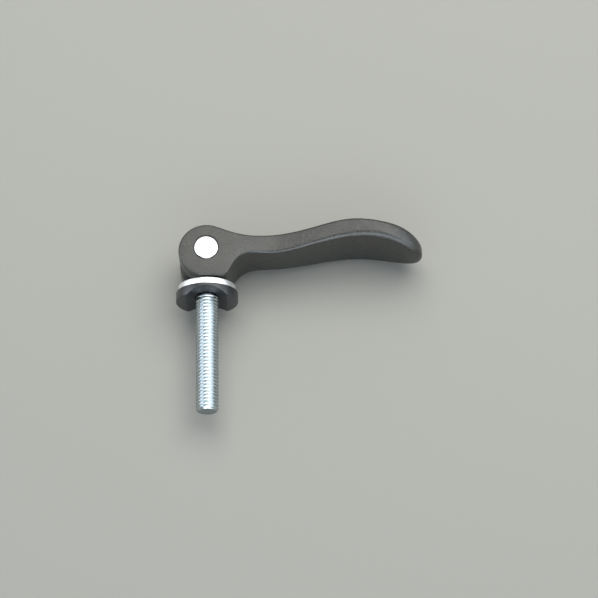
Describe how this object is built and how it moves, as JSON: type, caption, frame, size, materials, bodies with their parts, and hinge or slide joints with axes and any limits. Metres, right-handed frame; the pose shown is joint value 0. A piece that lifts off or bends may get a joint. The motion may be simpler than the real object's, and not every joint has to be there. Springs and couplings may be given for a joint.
{
  "type": "cam lever",
  "caption": "Forked cam lever on a cross pin, with a steel and a plastic thrust washer on a threaded clamping stud.",
  "frame": {"origin": "on the stud's axis, in the plane of the plastic washer's bearing face", "axes": "+X along the handle in its closed position, -Y down the stud, +Z along the pivot pin"},
  "size_m": [0.0866, 0.0668, 0.025],
  "materials": {
    "powder_coat": "black powder coat with a fine texture on die-cast zinc",
    "pin_steel": "bright turned steel",
    "zinc_plate": "bright blue zinc plate",
    "washer_steel": "bright zinc plate",
    "black_plastic": "moulded black plastic with a slight sheen"
  },
  "bodies": {
    "stud": {"threaded_stud": "zinc_plate"},
    "lever": {"lever": "powder_coat", "pivot_pin": "pin_steel"},
    "steel_washer": {"steel_washer": "washer_steel"},
    "thrust_washer": {"thrust_washer": "black_plastic"}
  },
  "joints": [
    {"name": "lever_swing", "type": "hinge", "parent": "stud", "child": "lever", "pos_m": [0, 0.01705, 0], "axis": [0, 0, 1], "range_deg": [0, 180]},
    {"name": "washer_slide", "type": "slide", "parent": "stud", "child": "steel_washer", "axis": [0, -1, 0], "range_m": [0, 0.04]},
    {"name": "washer_spin", "type": "hinge", "parent": "steel_washer", "child": "thrust_washer", "pos_m": [0, 0, 0], "axis": [0, 1, 0], "continuous": true}
  ]
}
